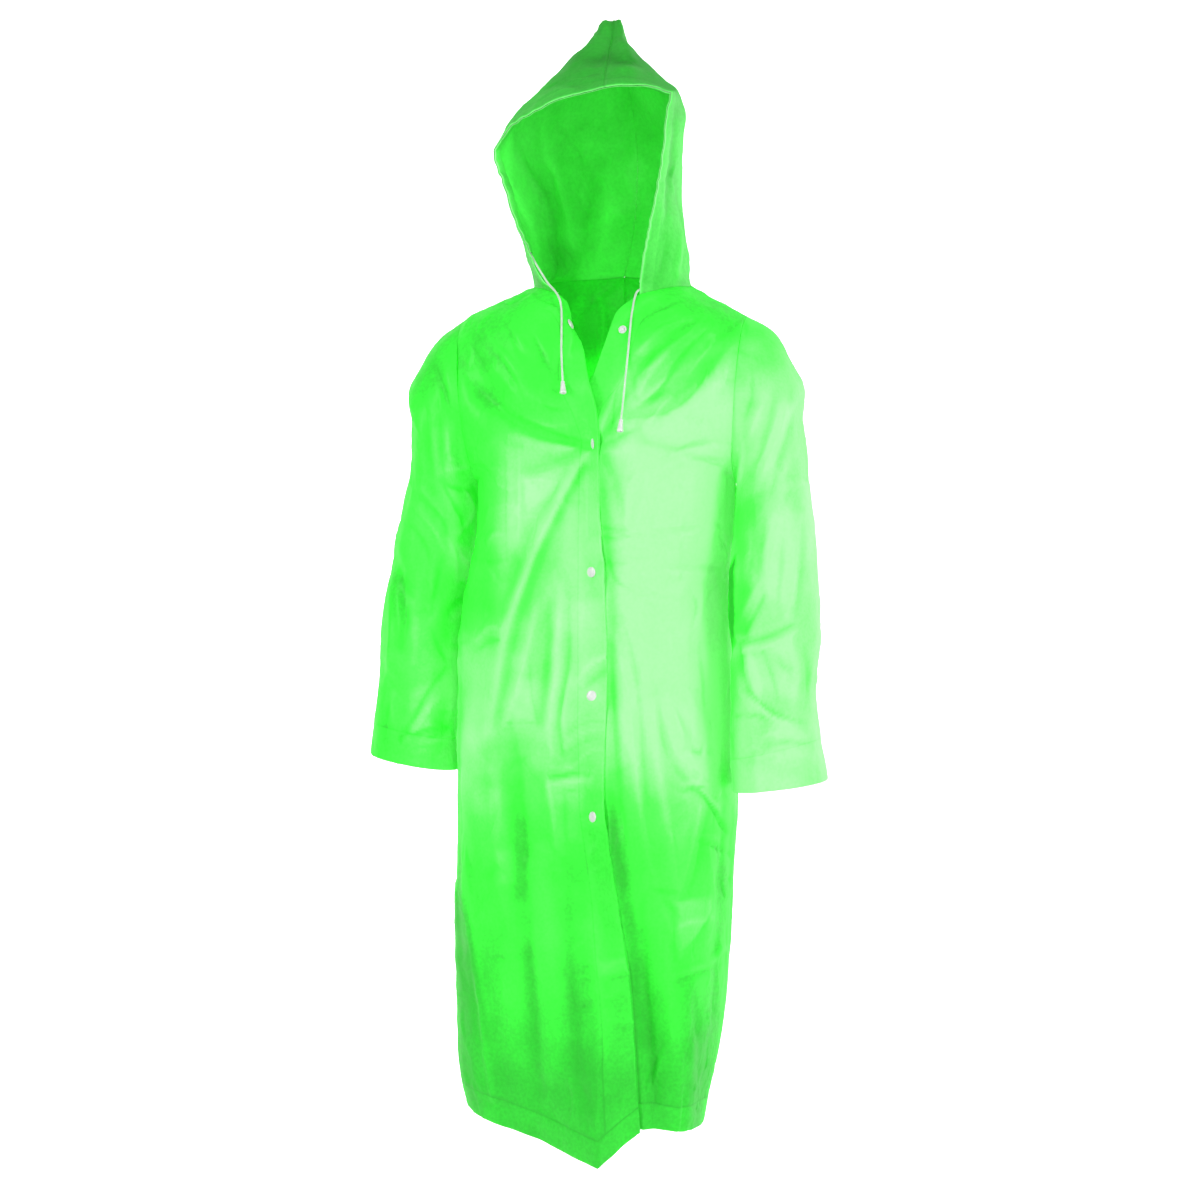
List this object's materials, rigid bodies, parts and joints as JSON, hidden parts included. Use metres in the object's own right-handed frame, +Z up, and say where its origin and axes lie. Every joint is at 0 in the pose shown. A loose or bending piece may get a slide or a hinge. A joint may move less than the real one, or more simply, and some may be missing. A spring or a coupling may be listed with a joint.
{
  "type": "raincoat",
  "caption": "Knee-length hooded raincoat of milky green film, held up at the shoulders, hollow and open at face, neck, cuffs and hem, with press snaps down the front and a hood drawcord.",
  "frame": {"origin": "middle of the neck opening at shoulder height, where the wearer's neck and shoulders hold the coat up", "axes": "+Z up towards the hood's peak; the front with the snaps faces -Y; the wearer's right is -X"},
  "size_m": [0.5708, 0.2977, 1.3791],
  "materials": {
    "green_film": "satin",
    "green_film_double": "satin",
    "white_cord": "matte",
    "white_plastic": "gloss"
  },
  "bodies": {
    "root": {"back": "green_film", "left_front": "green_film", "right_front": "green_film", "left_sleeve": "green_film", "right_sleeve": "green_film", "hood_left": "green_film", "hood_right": "green_film", "back_hem": "green_film_double", "left_hem": "green_film_double", "right_hem": "green_film_double", "left_placket": "green_film_double", "right_placket": "green_film_double", "left_cuff": "green_film_double", "right_cuff": "green_film_double", "hood_casing": "green_film_double", "drawcord_run": "white_cord", "drawcord_end_left": "white_cord", "drawcord_end_right": "white_cord", "cord_tip_left": "white_plastic", "cord_tip_right": "white_plastic", "snap_0_cap": "white_plastic", "snap_0_back": "white_plastic", "snap_0_socket": "white_plastic", "snap_0_stud": "white_plastic", "snap_1_cap": "white_plastic", "snap_1_back": "white_plastic", "snap_1_pair": "white_plastic", "snap_2_cap": "white_plastic", "snap_2_back": "white_plastic", "snap_2_pair": "white_plastic", "snap_3_cap": "white_plastic", "snap_3_back": "white_plastic", "snap_3_pair": "white_plastic", "snap_4_cap": "white_plastic", "snap_4_back": "white_plastic", "snap_4_pair": "white_plastic"}
  },
  "joints": []
}
